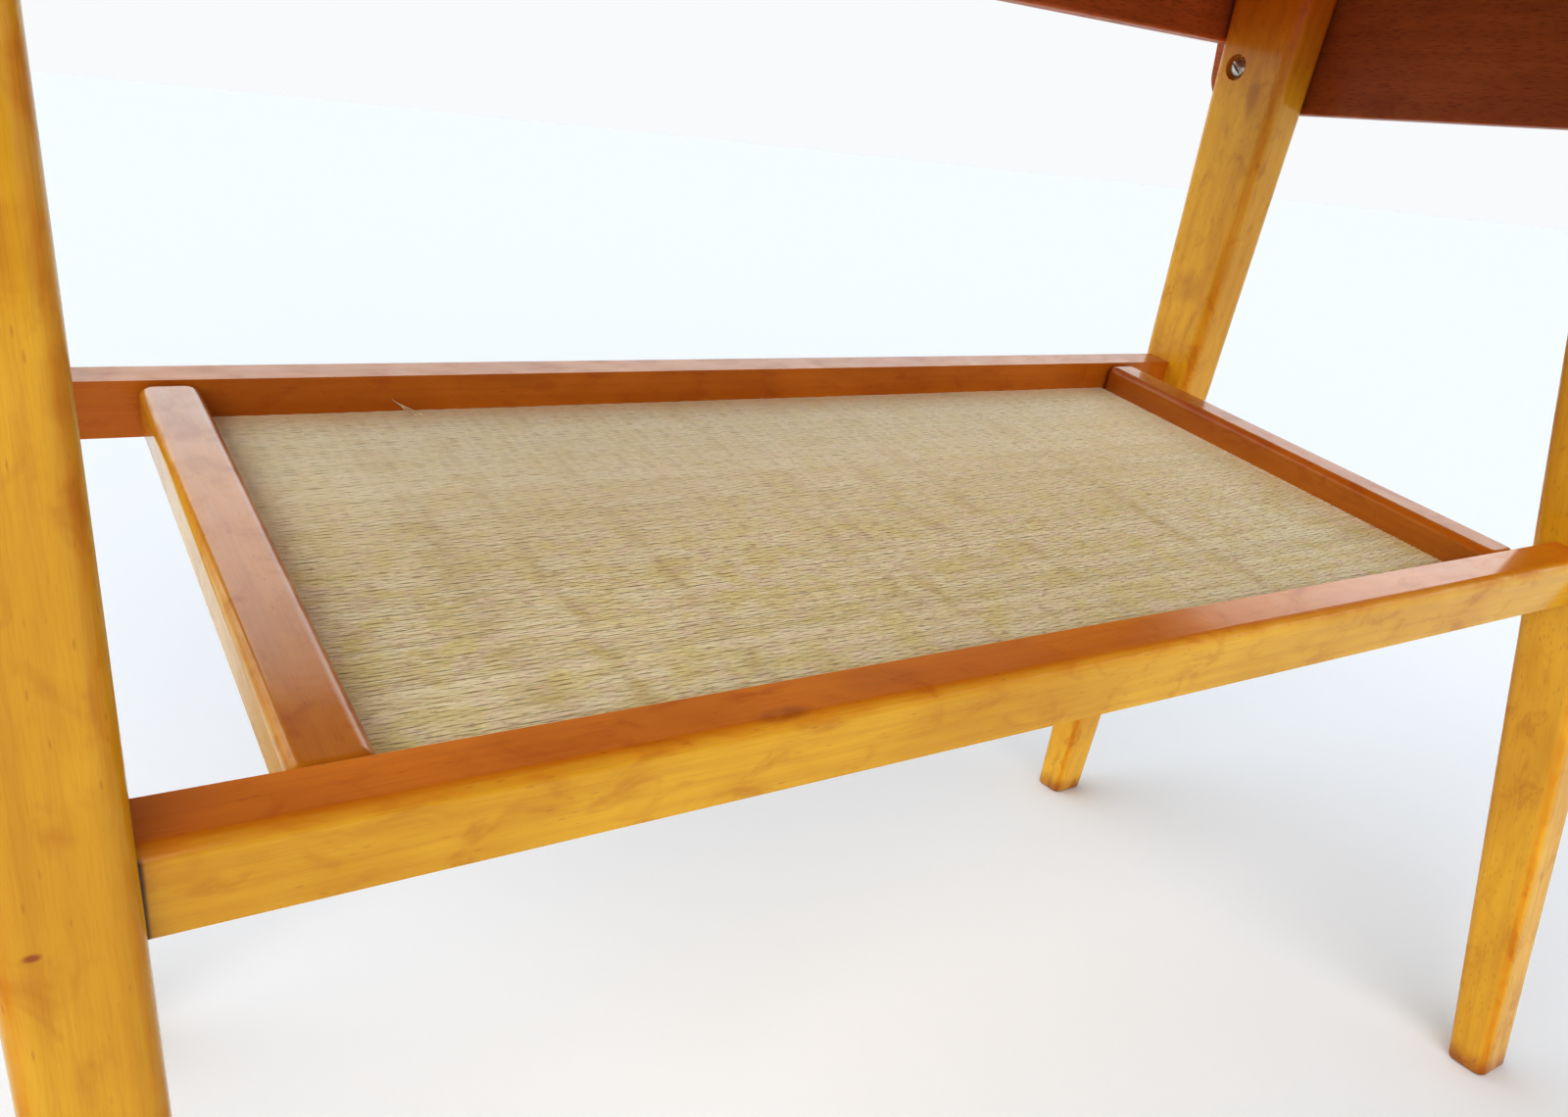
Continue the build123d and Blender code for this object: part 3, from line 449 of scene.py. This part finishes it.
class Weave:
    """The mesh of the woven face, thread by thread, with a tone on every point."""

    # Across a thread: place in half widths, height in its rise, and how deep in shade it lies.
    RIDGE = ((-1, 0, 0.6), (0, 1, 0.0), (1, 0, 0.6))

    def __init__(self):
        low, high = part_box("shelf_weave")
        self.left = low.x
        self.right = high.x
        tilted_depth = high.y - low.y - WEAVE_THICKNESS * math.sin(SHELF_TILT)
        self.half_depth = tilted_depth / 2 / math.cos(SHELF_TILT)
        self.rail_tops = (low.z + high.z) / 2 + WEAVE_DROP * math.cos(SHELF_TILT)
        self.verts = []
        self.faces = []
        self.tints = []

    def point(self, x, y, z, tint):
        """Add a point: along the shelf, across it, above the rail tops."""
        run, climb = math.cos(SHELF_TILT), math.sin(SHELF_TILT)
        self.verts.append(Vector((x, y * run - z * climb, self.rail_tops + y * climb + z * run)))
        self.tints.append(tint)

    def band_at(self, x):
        from_left = x - self.left
        return max(math.exp(-(((from_left - place) / width) ** 2)) for place, width in BANDS)

    def strip(self, points, width, rise, tone):
        """A thread: a low ridge along its points."""
        first = len(self.verts)
        for index, (x, y, z) in enumerate(points):
            band = self.band_at(x)
            for side, up, shade in self.RIDGE:
                self.point(x, y + side * width / 2, z + up * rise, (tone, band, shade, 1.0))
            if index:
                low = first + 3 * (index - 1)
                self.faces.append((low, low + 3, low + 4, low + 1))
                self.faces.append((low + 1, low + 4, low + 5, low + 2))

    def threads(self):
        count = int(2 * self.half_depth / THREAD_PITCH)
        length = self.right - self.left
        steps = int(length / THREAD_STEP)
        for row in range(count):
            y = -self.half_depth + (row + 0.5) * 2 * self.half_depth / count
            tone = random.uniform(0.0, 1.0)
            wander = random.uniform(0.0, 6.28)
            plump = random.uniform(0.85, 1.15)
            points = []
            for step in range(steps + 1):
                x = self.left + length * step / steps
                swing = WARP_SWING * math.cos(math.pi * (x - self.left) / WARP_PITCH + math.pi * row)
                drift = THREAD_DRIFT * math.sin(DRIFT_TURNS * x + wander)
                points.append((x, y + drift, THREAD_LIFT + swing - BED_DROP))
            self.strip(points, THREAD_WIDTH * plump, THREAD_RISE * plump, tone)

    def backing(self):
        first = len(self.verts)
        for side, end in ((-1, self.left), (-1, self.right), (1, self.right), (1, self.left)):
            self.point(end, side * self.half_depth, -BED_DROP, BED_TINT)
        self.faces.append(tuple(range(first, first + 4)))

    def loose_fibres(self):
        for number in range(FIBRES):
            reach = FIBRE_LEAN[0] - FIBRE_SHORTENING * number
            top = FIBRE_TOP - FIBRE_LOWERING * number
            fall = FIBRE_FALL - FIBRE_LOWERING * number
            points = []
            for step in range(FIBRE_POINTS):
                t = step / (FIBRE_POINTS - 1)
                x = FIBRE_ROOT[0] + FIBRE_SPACING * number + reach * t
                y = FIBRE_ROOT[1] - FIBRE_LEAN[1] * t * t
                points.append((x, y, top - fall * t**FIBRE_CURL - BED_DROP))
            self.strip(points, FIBRE_WIDTH, FIBRE_RISE, FIBRE_TONE)

    def finish(self):
        mesh = bpy.data.meshes.new("woven_straw")
        mesh.from_pydata(self.verts, [], self.faces)
        channels = [channel for tint in self.tints for channel in tint]
        mesh.color_attributes.new("straw", "FLOAT_COLOR", "POINT").data.foreach_set("color", channels)
        mesh.shade_smooth()
        mesh.materials.append(straw())
        piece = bpy.data.objects.new("woven_shelf_face", mesh)
        bpy.context.scene.collection.objects.link(piece)
        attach(piece, "stand")
        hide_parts("shelf_weave")


def grain_direction(name):
    """Along a leg, up the tilt of a cross bar, upright in turned pieces, or along the longest side."""
    if name in LEGS:
        outward = 1 if "back" in name else -1
        return (0, -outward * LEG_LEAN, 1)
    if name.startswith("cross_bar"):
        return (0, math.cos(SHELF_TILT), math.sin(SHELF_TILT))
    if name.startswith("end_panel"):
        return (0, 1, 0)
    if name.startswith("knob") or name.endswith("pins"):
        return (0, 0, 1)
    low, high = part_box(name)
    size = high - low
    longest = max(range(3), key=lambda axis: size[axis])
    return tuple(1.0 if axis == longest else 0.0 for axis in range(3))


def finish_pieces():
    """Wood or metal on every CAD node but the woven face, which is replaced."""
    metals = {"steel": steel(), "brass": brass()}
    slots = {part["node"]: part["material_slot"] for part in frame["record"]["subparts"]}
    for number, (name, piece) in enumerate(sorted(nodes.items())):
        slot_name = slots[name]
        if slot_name in WOODS:
            finish = wood(name, grain_direction(name), WOODS[slot_name], number)
        elif slot_name in metals:
            finish = metals[slot_name]
        else:
            continue
        for slot in piece.material_slots:
            slot.material = finish


def pale_floor():
    bpy.ops.mesh.primitive_circle_add(vertices=64, radius=FLOOR_RADIUS, fill_type="NGON", location=(0, 0, 0))
    floor = bpy.context.object
    floor.name = "floor"
    r = Recipe("floor")
    r.set(Base_Color=FLOOR_COLOUR, Roughness=0.7, Specular_IOR_Level=0.0)
    floor.data.materials.append(r.material)


def room_light():
    """A white room, darker low down on the front side; the camera sees a plain backdrop."""
    world = bpy.data.worlds.new("room")
    bpy.context.scene.world = world
    world.use_nodes = True
    tree = world.node_tree
    tree.nodes.clear()

    def node(kind, inputs=None, **settings):
        made = tree.nodes.new(kind)
        for key, value in settings.items():
            setattr(made, key, value)
        for key, value in (inputs or {}).items():
            if isinstance(value, bpy.types.NodeSocket):
                tree.links.new(value, made.inputs[key])
            else:
                made.inputs[key].default_value = value
        return made

    def ramp(value, ends, low=0.0, high=1.0, kind="LINEAR"):
        inputs = {0: value, 1: ends[0], 2: ends[1], 3: low, 4: high}
        return node("ShaderNodeMapRange", inputs, interpolation_type=kind).outputs[0]

    def calc(operation, *values):
        return node("ShaderNodeMath", dict(enumerate(values)), operation=operation).outputs[0]

    direction = node("ShaderNodeTexCoord").outputs["Generated"]
    rightward, _, height = node("ShaderNodeSeparateXYZ", {0: direction}).outputs
    frontness = node("ShaderNodeVectorMath", {0: direction, 1: FRONT}, operation="DOT_PRODUCT")
    front = ramp(frontness.outputs["Value"], DARK_WIDTH, kind="SMOOTHSTEP")
    low = ramp(height, DARK_HEIGHT, kind="SMOOTHSTEP")
    rise = ramp(height, HORIZON_BAND, HORIZON_LIGHT, WALL_LIGHT)
    slanted = calc("MULTIPLY_ADD", rightward, CEILING_SLANT, height)
    fall = ramp(slanted, CEILING_BAND, WALL_LIGHT, CEILING_LIGHT)
    bright = calc("MINIMUM", rise, fall)
    strength = ramp(calc("MULTIPLY", front, low), (0.0, 1.0), bright, DARK_LIGHT)
    room = node("ShaderNodeBackground", {0: DOME_WHITE, 1: strength}).outputs[0]
    backdrop = node("ShaderNodeBackground", {0: BACKDROP, 1: 1.0}).outputs[0]
    seen = node("ShaderNodeLightPath").outputs["Is Camera Ray"]
    mixed = node("ShaderNodeMixShader", {0: seen, 1: room, 2: backdrop}).outputs[0]
    node("ShaderNodeOutputWorld", {0: mixed})


def window_light():
    """A very soft light from the front left, even over the whole floor."""
    data = bpy.data.lights.new("front_left", "SUN")
    data.energy = WINDOW_LIGHT
    data.angle = math.radians(WINDOW_ANGLE)
    data.color = WINDOW_COLOUR
    lamp = bpy.data.objects.new("front_left", data)
    lamp.rotation_euler = Vector(WINDOW_TOWARDS).to_track_quat("-Z", "Y").to_euler()
    bpy.context.scene.collection.objects.link(lamp)


def camera():
    data = bpy.data.cameras.new("camera")
    data.sensor_width = CAMERA_SENSOR
    data.lens = CAMERA_LENS
    data.shift_x, data.shift_y = CAMERA_SHIFT
    data.clip_start = CAMERA_NEAREST
    made = bpy.data.objects.new("camera", data)
    forward = CAMERA_FORWARD.normalized()
    right = forward.cross(CAMERA_UP).normalized()
    turn = Matrix((right, right.cross(forward), -forward)).transposed()
    made.matrix_world = Matrix.Translation(CAMERA_PLACE) @ turn.to_4x4()
    bpy.context.scene.collection.objects.link(made)
    bpy.context.scene.camera = made


weave = Weave()
weave.threads()
weave.backing()
weave.loose_fibres()
weave.finish()
finish_pieces()
pale_floor()
room_light()
window_light()
camera()
bpy.context.scene.view_settings.view_transform = "Standard"
bpy.context.scene.view_settings.exposure = VIEW_EXPOSURE
bpy.context.scene.view_settings.gamma = VIEW_GAMMA
